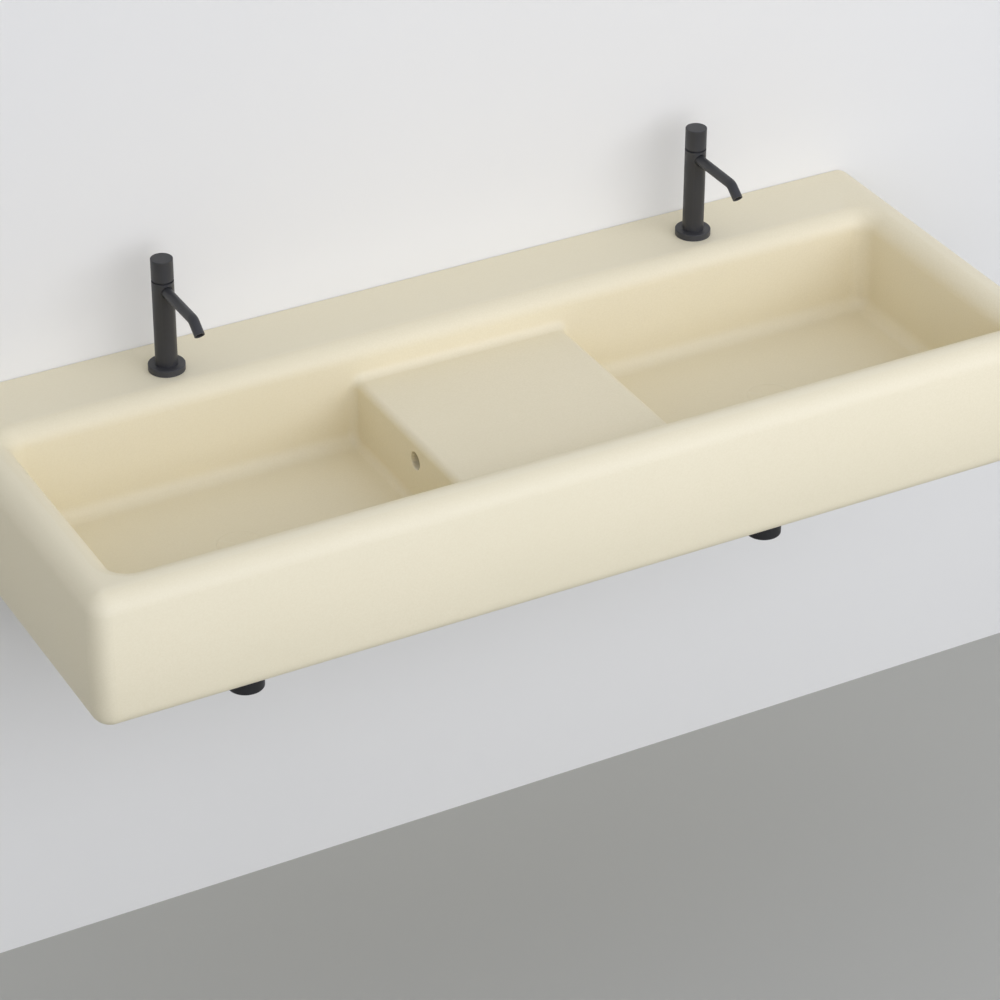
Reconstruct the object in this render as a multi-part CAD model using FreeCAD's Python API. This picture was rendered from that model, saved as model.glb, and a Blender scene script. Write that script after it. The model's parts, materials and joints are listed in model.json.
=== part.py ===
import FreeCAD, Part
import math
import os

# Wall-hung double washbasin with a lower shelf between two bowls, two deck
# taps, two push-to-open wastes and two bottle traps.  All lengths are in mm.
# The origin lies on the wall face, midway between the wall bolts and at their
# height.  X runs along the wall, Y into the wall and Z up.

Vec = FreeCAD.Vector
UP = Vec(0, 0, 1)
INTO_WALL = Vec(0, 1, 0)
INTO_ROOM = Vec(0, -1, 0)
SIDES = (("left", -1), ("right", 1))

# Basin casting: overall size and edges
basin_width = 1400.0
basin_depth = 530.0
basin_height = 192.0
edge_radius = 26.0
bolt_drop = 80.0            # wall bolts below the deck

# Basin casting: bowls and shelf
deck_depth = 128.0          # wall to the bowls' back wall
front_rim = 55.0
side_rim = 57.0
bowl_depth = 147.0
rim_radius = 26.0
bowl_corner_radius = 24.0
bowl_floor_radius = 20.0
shelf_width = 312.0
shelf_drop = 53.0
shelf_edge_radius = 10.0
shelf_foot_radius = 12.0

# Basin casting: hollow underside
skin = 12.0                 # fired wall thickness
back_skin = 14.0
underside_lip = 44.0        # width of the curled-in ring round the opening
back_lip = 30.0

# Basin casting: waste boss, dished floor and overflow channels
axis_shift = 3.0            # taps, wastes and traps lie this far inside the bowls' middle
waste_set_back = 281.0
waste_hole_radius = 23.0
boss_radius = 38.0
boss_drop = 20.0            # boss below the underside of the floor skin
dish_radius = 110.0
dish_drop = 2.5
seat_gap = 0.5              # between the waste cover and its ground seat
seat_rim = 2.0              # flat ring round the seat
overflow_radius = 12.0
overflow_edge = 2.0         # rounding of the overflow hole's mouth
overflow_drop = 84.0
overflow_set_back = 301.0
channel_width = 32.0
channel_height = 12.0
channel_reach = 24.0        # how far the channel stands off the shelf skin
channel_wall = 7.0
channel_top_drop = 64.0     # below the deck

# Wall bolts
inner_bolt_spacing = 280.0
outer_bolt_inset = 140.0    # from the basin's end
bolt_radius = 5.0           # screw end in the wall
bolt_shank_radius = 4.8     # machine thread on the room side
bolt_in_wall = 70.0
bolt_tip_length = 6.0
bolt_tip_radius = 2.5
bolt_spare = 8.0            # thread left past the nut
bolt_hole_radius = 11.0
bush_wall_clearance = 0.2
bush_bore_clearance = 0.2
bush_flange_radius = 17.0
bush_flange = 3.0
bolt_washer_radius = 15.0
bolt_washer = 2.0
bolt_nut_flats = 17.0
bolt_nut = 8.0
thread_clearance = 0.06

# Tap: base ring, column and spout
tap_from_bowl = 60.0        # tap's line behind the bowls' back wall
tap_hole_radius = 17.5
column_radius = 14.7
column_height = 130.4
column_bore_radius = 8.0
headwork_bore_radius = 10.5
headwork_seat = 92.0        # ledge in the column that carries the headwork
flange_radius = 24.5
flange_thickness = 9.0
flange_edge = 0.8
foot_radius = 23.0
foot_thickness = 4.0
piece_clearance = 0.05
base_seal_radius = 22.0
base_seal_bore = 19.0
base_seal_height = 1.6
spout_radius = 7.0
spout_bore_radius = 5.6
spout_height = 118.5
spout_mouth_radius = 8.6    # flared mouth of the column's side hole
spout_mouth_depth = 3.0
spout_reach = 94.0          # column line to the bend
spout_tip_length = 22.5
spout_tip_angle = 38.0      # degrees below level
spout_bend_radius = 14.0
insert_radius = 5.5
insert_bore_radius = 4.0
insert_length = 6.0
insert_set_in = 1.2

# Tap: valve, knob and tail
headwork_chamber_radius = 7.7
headwork_neck = 7.0         # solid top of the headwork that guides the spindle
disc_radius = 7.6
disc_thickness = 3.0
disc_gap = 0.04
disc_port_radius = 2.4
disc_port_offset = 4.0
window_radius = 4.5
spindle_radius = 4.0
spindle_clearance = 0.05
spindle_in_knob = 18.0
glide_radius = 13.2
glide_thickness = 2.3
knob_groove = 2.6           # dark groove between column and knob
knob_radius = 14.7
knob_height = 29.2
knob_edge = 0.7
knob_screw_radius = 2.0
knob_screw_height = 7.0     # above the knob's lower face
knob_screw_set_in = 0.8
tail_radius = 10.4
tail_shank_radius = 10.2    # smooth part above the free thread
tail_thread = 32.0
tail_bore_radius = 7.0
tail_in_column = 14.0
tail_below_deck = 60.0
deck_washer_radius = 23.0
deck_washer = 3.0
clamp_washer_radius = 21.0
clamp_washer = 2.0
back_nut_flats = 30.0
back_nut = 9.0

# Waste: body, seals, plug and click unit
waste_tube_radius = 20.9
waste_bore_radius = 17.5
waste_flange_radius = 29.0
waste_flange = 2.2
waste_seal = 1.2
waste_length = 62.0         # below the seat for the flange
waste_mouth_radius = 22.0
overflow_slot_width = 16.0
cover_radius = 30.0
cover_thickness = 5.0
cover_edge = 0.5
cover_gap = 0.3
stem_radius = 5.0
stem_disc_radius = 14.0
stem_disc = 3.0
seal_lip_radius = 15.8      # lip under the plug's seal
seal_lip = 0.8
plug_seal_gap = 0.3
stem_length = 34.0
click_radius = 8.0
click_clearance = 0.2
click_length = 26.0
click_arm_width = 5.0
click_arm_height = 6.0
click_floor = 3.0
click_start = 14.0          # below the stem disc, clear of it
waste_washer_radius = 34.0
waste_washer = 4.0
waste_nut_flats = 54.0
waste_nut = 10.0

# Trap: nuts, dip tube, head, cup and outlet
pipe_radius = 16.0
pipe_bore_radius = 14.8
slip_clearance = 0.15
seal_clearance = 0.1
collar_radius = 20.5
collar = 1.8
ring_seal = 1.2
trap_nut_radius = 24.5
trap_nut_grip = 16.0        # threaded length of each trap nut
trap_nut_lip = 3.0
trap_drop = 29.6            # trap head's top below the waste
trap_radius = 25.0
trap_wall = 2.5
cup_floor = 3.0
cup_height = 59.0
cup_edge = 1.0
spigot_length = 11.0
spigot_wall = 2.6
head_height = 58.0
neck_length = 13.0
neck_radius = 20.9
packing = 4.0
dip_end_height = 23.0       # lower end of the dip tube above the cup's lowest face
outlet_drop = 34.2          # branch's line below the trap head's top
branch_length = 22.0        # branch past the trap head
branch_stop = 12.0          # how deep the outlet pipe sits in the branch
outlet_seal = 2.5
outlet_in_wall = 40.0
outlet_end_radius = 15.8    # turned end that goes into the wall
rosette_radius = 34.0
rosette_depth = 10.0
rosette_edge = 3.0

# How far cutting tools run past the surface that they cut
overrun = 5.0

# Levels and lines that follow from the sizes above
deck_z = bolt_drop
bottom_z = deck_z - basin_height
floor_z = deck_z - bowl_depth
shelf_z = deck_z - shelf_drop
half_width = basin_width / 2
bowl_half = half_width - side_rim
bowl_front_y = front_rim - basin_depth
shelf_half = shelf_width / 2
axis_x = (shelf_half + bowl_half) / 2 - axis_shift
tap_y = tap_from_bowl - deck_depth
waste_y = -waste_set_back
dish_z = floor_z - dish_drop
seat_z = dish_z - cover_thickness - cover_gap - waste_flange - waste_seal
waste_flange_top = seat_z + waste_seal + waste_flange
cover_low = waste_flange_top + cover_gap
floor_under_z = floor_z - skin
boss_z = floor_under_z - boss_drop
hollow_radius = edge_radius - skin
waste_end_z = seat_z - waste_length
head_top_z = waste_end_z - trap_drop
head_low_z = head_top_z - head_height
cup_top_z = head_low_z - ring_seal
trap_bottom_z = cup_top_z - cup_height
outlet_z = head_top_z - outlet_drop
knob_low_z = deck_z + column_height + knob_groove


def disc(x, y, low, high, radius):
    """Upright cylinder between two levels."""
    return Part.makeCylinder(radius, high - low, Vec(x, y, low), UP)


def ring(x, y, low, high, radius, bore):
    """Upright ring or tube between two levels."""
    return disc(x, y, low, high, radius).cut(disc(x, y, low, high, bore))


def wall_disc(x, z, start, end, radius):
    """Cylinder along Y between two distances from the wall face."""
    return Part.makeCylinder(radius, end - start, Vec(x, start, z), INTO_WALL)


def wall_ring(x, z, start, end, radius, bore):
    """Ring or tube along Y."""
    return wall_disc(x, z, start, end, radius).cut(wall_disc(x, z, start, end, bore))


def box(x_low, x_high, y_low, y_high, z_low, z_high):
    """Plain box between two corners."""
    return Part.makeBox(x_high - x_low, y_high - y_low, z_high - z_low, Vec(x_low, y_low, z_low))


def hexagon(flats):
    """Closed hexagon in the XY plane with the given width across flats."""
    reach = flats / math.sqrt(3)
    turns = [math.radians(60 * step) for step in range(7)]
    return Part.makePolygon([Vec(reach * math.cos(turn), reach * math.sin(turn), 0) for turn in turns])


def hex_nut(x, y, low, high, flats, bore):
    """Upright hexagon nut with a plain bore."""
    solid = Part.Face(hexagon(flats)).extrude(Vec(0, 0, high - low))
    solid.translate(Vec(x, y, low))
    return solid.cut(disc(x, y, low, high, bore))


def edges_of(shape, wanted):
    """Edges whose bounding box passes a test."""
    return [edge for edge in shape.Edges if wanted(edge.BoundBox)]


def upright(bounds):
    return bounds.ZLength > bounds.XLength + bounds.YLength


def at_level(level):
    return lambda bounds: abs(bounds.ZMin - level) + abs(bounds.ZMax - level) < piece_clearance


def rounded_block(x_low, x_high, y_low, y_high, z_low, z_high, corner):
    """Box with its four upright edges rounded."""
    block = box(x_low, x_high, y_low, y_high, z_low, z_high)
    return block.makeFillet(corner, edges_of(block, upright))


def outer_block():
    """Outside of the casting: every edge is round apart from the two on the wall."""
    block = box(-half_width, half_width, -basin_depth, 0, bottom_z, deck_z)

    def off_the_wall(bounds):
        return bounds.ZLength > 0 and bounds.ZLength > bounds.XLength or bounds.YMin < -piece_clearance

    return block.makeFillet(edge_radius, edges_of(block, off_the_wall))


def bowl_recess():
    """Space that both bowls and the air above the shelf share."""
    block = rounded_block(-bowl_half, bowl_half, bowl_front_y, -deck_depth,
                          floor_z, deck_z + overrun, bowl_corner_radius)
    return block.makeFillet(bowl_floor_radius, edges_of(block, at_level(floor_z)))


def shelf_block():
    """Solid shelf between the bowls, its long upper edges rounded."""
    block = box(-shelf_half, shelf_half, bowl_front_y - skin / 2, skin / 2 - deck_depth,
                floor_z - skin / 2, shelf_z)

    def long_top(bounds):
        return bounds.YLength > bounds.XLength and bounds.ZMin > shelf_z - piece_clearance

    return block.makeFillet(shelf_edge_radius, edges_of(block, long_top))


def touches_shelf_foot(bounds):
    """Inside corners where the shelf meets the bowls' walls and floor."""
    near = piece_clearance
    inside_y = bounds.YMin > bowl_front_y - near and bounds.YMax < near - deck_depth
    inside_x = bounds.XMin > -shelf_half - near and bounds.XMax < shelf_half + near
    below_shelf = bounds.ZMax < shelf_z + near
    on_front = abs(bounds.YMin - bowl_front_y) < near
    on_back = abs(bounds.YMax + deck_depth) < near
    on_floor = abs(bounds.ZMin - floor_z) < near
    return inside_y and inside_x and below_shelf and (on_front or on_back or on_floor)


def rim_loop(level, spread):
    """Test for the edges round both bowls at a level, spread mm outside the bowls' walls."""
    near = piece_clearance

    def on_loop(bounds):
        inside = bounds.XMin > -bowl_half - spread - near and bounds.XMax < bowl_half + spread + near
        in_front = bounds.YMax < spread - deck_depth + near
        in_reach = bounds.YMin > bowl_front_y - spread - near
        return inside and in_front and in_reach and at_level(level)(bounds)

    return on_loop


def bowls_and_shelf(block):
    """Cuts the recess, rounds its rim and adds the shelf with rounded inside corners."""
    body = block.cut(bowl_recess())
    body = body.makeFillet(rim_radius, edges_of(body, rim_loop(deck_z, 0)))
    body = body.fuse(shelf_block()).removeSplitter()
    return body.makeFillet(shelf_foot_radius, edges_of(body, touches_shelf_foot))


def hollow():
    """Open space between the outer skin and the bowls' skin, reached from below."""
    space = box(skin - half_width, half_width - skin, skin - basin_depth, -back_skin,
                bottom_z + skin, deck_z - skin)
    space = space.makeFillet(hollow_radius, space.Edges)
    mouth = rounded_block(underside_lip - half_width, half_width - underside_lip,
                          underside_lip - basin_depth, -back_lip,
                          bottom_z - overrun, bottom_z + skin + overrun, hollow_radius)
    bowls = rounded_block(-bowl_half - skin, bowl_half + skin, bowl_front_y - skin, skin - deck_depth,
                          floor_under_z, deck_z, bowl_corner_radius + skin)
    bowls = bowls.makeFillet(bowl_floor_radius + skin, edges_of(bowls, at_level(floor_under_z)))
    under_shelf = box(skin - shelf_half, shelf_half - skin, bowl_front_y - hollow_radius,
                      hollow_radius - deck_depth, floor_under_z - overrun, shelf_z - skin)
    around = space.cut(bowls)
    around = around.makeFillet(rim_radius - skin, edges_of(around, rim_loop(deck_z - skin, skin)))
    return around.fuse(under_shelf.common(space)).fuse(mouth)


def dish(x):
    """Shallow dish in a bowl's floor: two tangent arcs from the floor to the waste."""
    inner = cover_radius + seat_gap + seat_rim
    run = dish_radius - inner
    radius = (run ** 2 + dish_drop ** 2) / (4 * dish_drop)
    half_turn = math.asin(run / 2 / radius) / 2
    middle = Vec((dish_radius + inner) / 2, 0, floor_z - dish_drop / 2)
    across = radius * math.sin(half_turn)
    down = radius * (1 - math.cos(half_turn))
    outer_arc = Part.Arc(Vec(dish_radius, 0, floor_z), Vec(dish_radius - across, 0, floor_z - down), middle)
    inner_arc = Part.Arc(middle, Vec(inner + across, 0, dish_z + down), Vec(inner, 0, dish_z))
    walls = Part.makePolygon([Vec(inner, 0, dish_z), Vec(0, 0, dish_z), Vec(0, 0, floor_z + overrun),
                              Vec(dish_radius, 0, floor_z + overrun), Vec(dish_radius, 0, floor_z)])
    outline = Part.Wire([outer_arc.toShape(), inner_arc.toShape()] + walls.Edges)
    solid = Part.Face(outline).revolve(Vec(0, 0, 0), UP, 360)
    solid.translate(Vec(x, waste_y, 0))
    return solid


def channel_box(side, spread):
    """Overflow channel behind the shelf's side and under the bowl, swollen by spread."""
    start = side * (shelf_half - skin - channel_reach - spread)
    behind = side * (shelf_half - skin)
    end = side * axis_x
    y_low = -overflow_set_back - channel_width / 2 - spread
    y_high = -overflow_set_back + channel_width / 2 + spread
    low = floor_under_z - channel_height - spread
    high = deck_z - channel_top_drop + spread
    upright_part = box(min(start, behind), max(start, behind), y_low, y_high, low, high)
    level_part = box(min(start, end), max(start, end), y_low, y_high, low, floor_under_z)
    return upright_part.fuse(level_part).removeSplitter()


def overflow_mouth(side):
    """Test for the round edge of the overflow hole in the shelf's side."""
    def on_mouth(bounds):
        across = abs(bounds.XMin - side * shelf_half) + abs(bounds.XMax - side * shelf_half)
        middle = (bounds.ZMin + bounds.ZMax) / 2
        off_centre = abs(middle - deck_z + overflow_drop) + abs(bounds.ZLength / 2 - overflow_radius)
        return across + off_centre < piece_clearance

    return on_mouth


def basin_body():
    """The whole fired casting."""
    body = bowls_and_shelf(outer_block()).cut(hollow())
    for name, side in SIDES:
        x = side * axis_x
        body = body.fuse(disc(x, waste_y, boss_z, floor_under_z + skin / 2, boss_radius))
        body = body.fuse(channel_box(side, channel_wall))
        body = body.cut(channel_box(side, 0))
        body = body.cut(dish(x))
        body = body.cut(disc(x, waste_y, seat_z, floor_z, cover_radius + seat_gap))
        body = body.cut(disc(x, waste_y, boss_z - overrun, floor_z, waste_hole_radius))
        body = body.cut(disc(x, tap_y, deck_z - skin - overrun, deck_z + overrun, tap_hole_radius))
        hole_end = side * (shelf_half + overrun)
        hole_start = side * (shelf_half - skin - overrun)
        body = body.cut(Part.makeCylinder(overflow_radius, abs(hole_end - hole_start),
                                          Vec(min(hole_start, hole_end), -overflow_set_back,
                                              deck_z - overflow_drop), Vec(1, 0, 0)))
        body = body.makeFillet(overflow_edge, edges_of(body, overflow_mouth(side)))
    for x in bolt_lines():
        body = body.cut(wall_disc(x, 0, -back_skin - overrun, overrun, bolt_hole_radius))
    return body


def bolt_lines():
    """X of each wall bolt."""
    reaches = (inner_bolt_spacing / 2, half_width - outer_bolt_inset)
    return [side * reach for reach in reaches for side in (-1, 1)]


def wall_fixings():
    """Bolts, bushes, washers and nuts that hold the casting on the wall."""
    bush_end = -back_skin - bush_flange
    washer_end = bush_end - bolt_washer
    nut_end = washer_end - bolt_nut
    bolts, bushes, washers, nuts = [], [], [], []
    for x in bolt_lines():
        shank = wall_disc(x, 0, nut_end - bolt_spare, 0, bolt_shank_radius)
        screw = wall_disc(x, 0, 0, bolt_in_wall - bolt_tip_length, bolt_radius)
        tip = Part.makeCone(bolt_radius, bolt_tip_radius, bolt_tip_length,
                            Vec(x, bolt_in_wall - bolt_tip_length, 0), INTO_WALL)
        bolts.append(shank.fuse([screw, tip]))
        sleeve = wall_disc(x, 0, -back_skin, 0, bolt_hole_radius - bush_wall_clearance)
        sleeve = sleeve.fuse(wall_disc(x, 0, bush_end, -back_skin, bush_flange_radius))
        bushes.append(sleeve.cut(wall_disc(x, 0, bush_end, 0, bolt_shank_radius + bush_bore_clearance)))
        washers.append(wall_ring(x, 0, washer_end, bush_end, bolt_washer_radius,
                                 bolt_shank_radius + bush_bore_clearance))
        nut = Part.Face(hexagon(bolt_nut_flats)).extrude(Vec(0, 0, bolt_nut))
        nut.rotate(Vec(0, 0, 0), Vec(1, 0, 0), -90)
        nut.translate(Vec(x, nut_end, 0))
        nuts.append(nut.cut(wall_disc(x, 0, nut_end, washer_end, bolt_shank_radius + thread_clearance)))
    return {"wall_bolts": bolts, "bolt_bushes": bushes, "bolt_washers": washers, "bolt_nuts": nuts}


def tap_flange(x):
    """Round cover ring over the foot of the column."""
    high = deck_z + flange_thickness
    body = disc(x, tap_y, deck_z, high, flange_radius)
    body = body.makeChamfer(flange_edge, edges_of(body, at_level(high)))
    body = body.cut(disc(x, tap_y, deck_z, deck_z + foot_thickness + piece_clearance,
                         foot_radius + piece_clearance))
    return body.cut(disc(x, tap_y, deck_z, high, column_radius + piece_clearance))


def tap_column(x):
    """Column on a grooved foot, with water way, headwork seat and a side hole for the spout."""
    high = deck_z + column_height
    foot = disc(x, tap_y, deck_z, deck_z + foot_thickness, foot_radius)
    groove = ring(x, tap_y, deck_z, deck_z + base_seal_height,
                  base_seal_radius + piece_clearance, base_seal_bore - piece_clearance)
    body = disc(x, tap_y, deck_z, high, column_radius).fuse(foot.cut(groove))
    body = body.cut(disc(x, tap_y, deck_z, high, column_bore_radius))
    body = body.cut(disc(x, tap_y, deck_z + headwork_seat, high, headwork_bore_radius))
    body = body.cut(disc(x, tap_y, deck_z, deck_z + tail_in_column, tail_shank_radius + thread_clearance))
    hole = wall_disc(x, deck_z + spout_height, tap_y - column_radius - overrun, tap_y,
                     spout_radius + piece_clearance)
    mouth = Part.makeCone(spout_radius, spout_mouth_radius, spout_mouth_depth,
                          Vec(x, tap_y - column_radius + spout_mouth_depth, deck_z + spout_height),
                          INTO_ROOM)
    return body.cut(hole).cut(mouth)


def spout_path(x):
    """Level run, bend and tip of the spout's centre line."""
    level = deck_z + spout_height
    tip = math.radians(spout_tip_angle)
    trim = spout_bend_radius * math.tan(tip / 2)
    start = Vec(x, tap_y - headwork_bore_radius - piece_clearance, level)
    corner = Vec(x, tap_y - spout_reach, level)
    down = Vec(0, -math.cos(tip), -math.sin(tip))
    bend_start = corner + Vec(0, trim, 0)
    bend_end = corner + down * trim
    centre = bend_start - Vec(0, 0, spout_bend_radius)
    bend_middle = centre + Vec(0, -math.sin(tip / 2), math.cos(tip / 2)) * spout_bend_radius
    end = corner + down * spout_tip_length
    edges = [Part.LineSegment(start, bend_start).toShape(),
             Part.Arc(bend_start, bend_middle, bend_end).toShape(),
             Part.LineSegment(bend_end, end).toShape()]
    return Part.Wire(edges), start, end, down


def swept(path, start, radius):
    """Round bar along a path that starts level, towards the room."""
    profile = Part.Wire([Part.makeCircle(radius, start, INTO_WALL)])
    return path.makePipeShell([profile], True, False)


def tap_spout(x):
    """Bent tube with an open end."""
    path, start, end, down = spout_path(x)
    tube = swept(path, start, spout_radius).cut(swept(path, start, spout_bore_radius))
    throat = wall_disc(x, deck_z + spout_height, tap_y - column_radius, tap_y, spout_radius)
    bore = disc(x, tap_y, deck_z, deck_z + column_height, headwork_bore_radius + piece_clearance)
    return tube.cut(throat.common(bore))


def spout_insert(x):
    """Flow straightener in the spout's end."""
    path, start, end, down = spout_path(x)
    base = end - down * (insert_set_in + insert_length)
    body = Part.makeCylinder(insert_radius, insert_length, base, down)
    return body.cut(Part.makeCylinder(insert_bore_radius, insert_length, base, down))


def tap_headwork(x):
    """Valve cage: disc chamber, side windows to the spout and a neck for the spindle."""
    low = deck_z + headwork_seat
    high = deck_z + column_height
    body = disc(x, tap_y, low, high, headwork_bore_radius - piece_clearance)
    body = body.cut(disc(x, tap_y, low, high - headwork_neck, headwork_chamber_radius))
    body = body.cut(disc(x, tap_y, low, high, spindle_radius + spindle_clearance))
    window = wall_disc(x, deck_z + spout_height, tap_y - column_radius, tap_y + column_radius, window_radius)
    return body.cut(window.common(disc(x, tap_y, low, high - headwork_neck, column_radius)))


def valve_disc(x, low, port_angle):
    """Ceramic valve disc with two ports."""
    body = disc(x, tap_y, low, low + disc_thickness, disc_radius)
    for turn in (port_angle, port_angle + math.pi):
        port_x = x + disc_port_offset * math.cos(turn)
        port_y = tap_y + disc_port_offset * math.sin(turn)
        body = body.cut(disc(port_x, port_y, low, low + disc_thickness, disc_port_radius))
    return body


def fixed_disc(x):
    return valve_disc(x, deck_z + headwork_seat, 0)


def moving_disc(x):
    return valve_disc(x, deck_z + headwork_seat + disc_thickness + disc_gap, math.pi / 2)


def tap_spindle(x):
    """Shaft from the moving disc up into the knob."""
    low = deck_z + headwork_seat + disc_gap + disc_thickness * 2
    return disc(x, tap_y, low, knob_low_z + spindle_in_knob, spindle_radius)


def glide_ring(x):
    low = deck_z + column_height
    return ring(x, tap_y, low, low + glide_thickness, glide_radius, spindle_radius + thread_clearance)


def tap_knob(x):
    """Turning knob with a blind bore for the spindle and a screw hole at the back."""
    high = knob_low_z + knob_height
    body = disc(x, tap_y, knob_low_z, high, knob_radius)
    body = body.makeFillet(knob_edge, edges_of(body, at_level(high)))
    body = body.cut(disc(x, tap_y, knob_low_z, knob_low_z + spindle_in_knob + piece_clearance,
                         spindle_radius + piece_clearance))
    return body.cut(wall_disc(x, knob_low_z + knob_screw_height, tap_y, tap_y + knob_radius,
                              knob_screw_radius + piece_clearance))


def knob_screw(x):
    start = tap_y + spindle_radius + piece_clearance
    return wall_disc(x, knob_low_z + knob_screw_height, start, tap_y + knob_radius - knob_screw_set_in,
                     knob_screw_radius)


def tap_tail(x):
    """Inlet tail, screwed into the column, through the deck and free at its threaded end."""
    low = deck_z - tail_below_deck
    body = disc(x, tap_y, low, low + tail_thread, tail_radius)
    body = body.fuse(disc(x, tap_y, low, deck_z + tail_in_column, tail_shank_radius))
    return body.cut(disc(x, tap_y, low, deck_z + tail_in_column, tail_bore_radius))


def tap_clamping(x):
    """Seal above the deck, and washers and nut below it."""
    under = deck_z - skin
    washer_end = under - deck_washer
    clamp_end = washer_end - clamp_washer
    bore = tail_shank_radius + thread_clearance
    seal_top = deck_z + base_seal_height
    return {"tap_base_seals": ring(x, tap_y, deck_z, seal_top, base_seal_radius, base_seal_bore),
            "tap_deck_washers": ring(x, tap_y, washer_end, under, deck_washer_radius, bore),
            "tap_clamp_washers": ring(x, tap_y, clamp_end, washer_end, clamp_washer_radius, bore),
            "tap_back_nuts": hex_nut(x, tap_y, clamp_end - back_nut, clamp_end, back_nut_flats, bore)}


def waste_body(x):
    """Flanged waste with a flared mouth and two overflow slots."""
    flange_low = seat_z + waste_seal
    body = disc(x, waste_y, flange_low, waste_flange_top, waste_flange_radius)
    body = body.fuse(disc(x, waste_y, waste_end_z, flange_low, waste_tube_radius))
    body = body.cut(disc(x, waste_y, waste_end_z, waste_flange_top, waste_bore_radius))
    flare = Part.makeCone(waste_bore_radius, waste_mouth_radius, waste_flange,
                          Vec(x, waste_y, flange_low), UP)
    slot = box(x - waste_tube_radius - overrun, x + waste_tube_radius + overrun,
               waste_y - overflow_slot_width / 2, waste_y + overflow_slot_width / 2,
               floor_under_z - channel_height, floor_under_z)
    return body.cut(flare).cut(slot)


def plug_cover(x):
    """Disc of the basin's own fired clay that covers the waste."""
    high = cover_low + cover_thickness
    body = disc(x, waste_y, cover_low, high, cover_radius)
    return body.makeFillet(cover_edge, edges_of(body, at_level(high)))


def plug_stem(x):
    """Stem that carries the cover and slides in the click unit."""
    disc_low = cover_low - stem_disc
    body = disc(x, waste_y, disc_low, cover_low, stem_disc_radius)
    body = body.fuse(disc(x, waste_y, disc_low, disc_low + seal_lip, seal_lip_radius))
    return body.fuse(disc(x, waste_y, disc_low - stem_length, disc_low, stem_radius))


def plug_seal(x):
    return ring(x, waste_y, cover_low - stem_disc + seal_lip, cover_low - cover_gap,
                waste_bore_radius - plug_seal_gap, stem_disc_radius + piece_clearance)


def click_unit(x):
    """Guide and latch for the stem, on three arms inside the waste."""
    high = cover_low - stem_disc - click_start
    low = high - click_length
    body = disc(x, waste_y, low, high, click_radius)
    body = body.cut(disc(x, waste_y, low + click_floor, high, stem_radius + click_clearance))
    for turn in (90, 210, 330):
        arm = box(click_radius - piece_clearance, waste_bore_radius,
                  -click_arm_width / 2, click_arm_width / 2, low, low + click_arm_height)
        arm.rotate(Vec(0, 0, 0), UP, turn)
        arm.translate(Vec(x, waste_y, 0))
        body = body.fuse(arm)
    return body.common(disc(x, waste_y, low, high, waste_bore_radius - seal_clearance))


def waste_clamping(x):
    """Seal above the boss, and washer and nut below it."""
    washer_end = boss_z - waste_washer
    bore = waste_tube_radius + thread_clearance
    return {"waste_flange_seals": ring(x, waste_y, seat_z, seat_z + waste_seal, waste_flange_radius,
                                       waste_hole_radius),
            "waste_washers": ring(x, waste_y, washer_end, boss_z, waste_washer_radius, bore),
            "waste_nuts": hex_nut(x, waste_y, washer_end - waste_nut, washer_end, waste_nut_flats, bore)}


def trap_inlet(x):
    """Nut and seal that join the dip tube to the waste."""
    seal_low = waste_end_z - ring_seal
    lip_high = seal_low - collar
    high = waste_end_z + trap_nut_grip
    nut = disc(x, waste_y, lip_high - trap_nut_lip, high, trap_nut_radius)
    nut = nut.cut(disc(x, waste_y, lip_high, high, waste_tube_radius + thread_clearance))
    nut = nut.cut(disc(x, waste_y, lip_high - trap_nut_lip, lip_high, pipe_radius + slip_clearance))
    return {"trap_inlet_nuts": nut,
            "trap_inlet_seals": ring(x, waste_y, seal_low, waste_end_z, collar_radius, waste_bore_radius)}


def dip_tube(x):
    """Collared tube from the waste down into the cup."""
    high = waste_end_z - ring_seal
    low = trap_bottom_z + dip_end_height
    body = disc(x, waste_y, low, high, pipe_radius).fuse(
        disc(x, waste_y, high - collar, high, collar_radius))
    return body.cut(disc(x, waste_y, low, high, pipe_bore_radius))


def trap_head(x):
    """Upper half of the bottle: neck for the dip tube, side branch and spigot."""
    inside = trap_radius - trap_wall
    spigot_radius = inside - thread_clearance
    spigot_bore = spigot_radius - spigot_wall
    ledge = head_low_z + cup_floor
    neck_top = head_top_z + neck_length
    branch_end = waste_y + trap_radius + branch_length
    body = disc(x, waste_y, head_low_z, head_top_z, trap_radius)
    body = body.fuse(disc(x, waste_y, head_top_z, neck_top, neck_radius))
    body = body.fuse(wall_disc(x, outlet_z, waste_y, branch_end, neck_radius))
    body = body.fuse(disc(x, waste_y, head_low_z - spigot_length, head_low_z, spigot_radius))
    body = body.cut(disc(x, waste_y, ledge, head_top_z - cup_floor, inside))
    body = body.cut(disc(x, waste_y, head_low_z - spigot_length, ledge, spigot_bore))
    body = body.cut(disc(x, waste_y, head_top_z - cup_floor, neck_top, pipe_radius + slip_clearance))
    body = body.cut(wall_disc(x, outlet_z, waste_y, branch_end, pipe_bore_radius))
    socket_start = branch_end - branch_stop
    return body.cut(wall_disc(x, outlet_z, socket_start, branch_end, pipe_radius + slip_clearance))


def trap_gland(x):
    """Nut and packing that hold the dip tube in the neck."""
    neck_top = head_top_z + neck_length
    packing_top = neck_top + packing
    low = neck_top - neck_length + slip_clearance
    nut = disc(x, waste_y, low, packing_top + trap_nut_lip, trap_nut_radius)
    nut = nut.cut(disc(x, waste_y, low, packing_top, neck_radius + thread_clearance))
    nut = nut.cut(disc(x, waste_y, packing_top, packing_top + trap_nut_lip, pipe_radius + slip_clearance))
    return {"trap_gland_nuts": nut,
            "trap_gland_seals": ring(x, waste_y, neck_top, packing_top, neck_radius - seal_clearance,
                                     pipe_radius + seal_clearance)}


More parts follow.
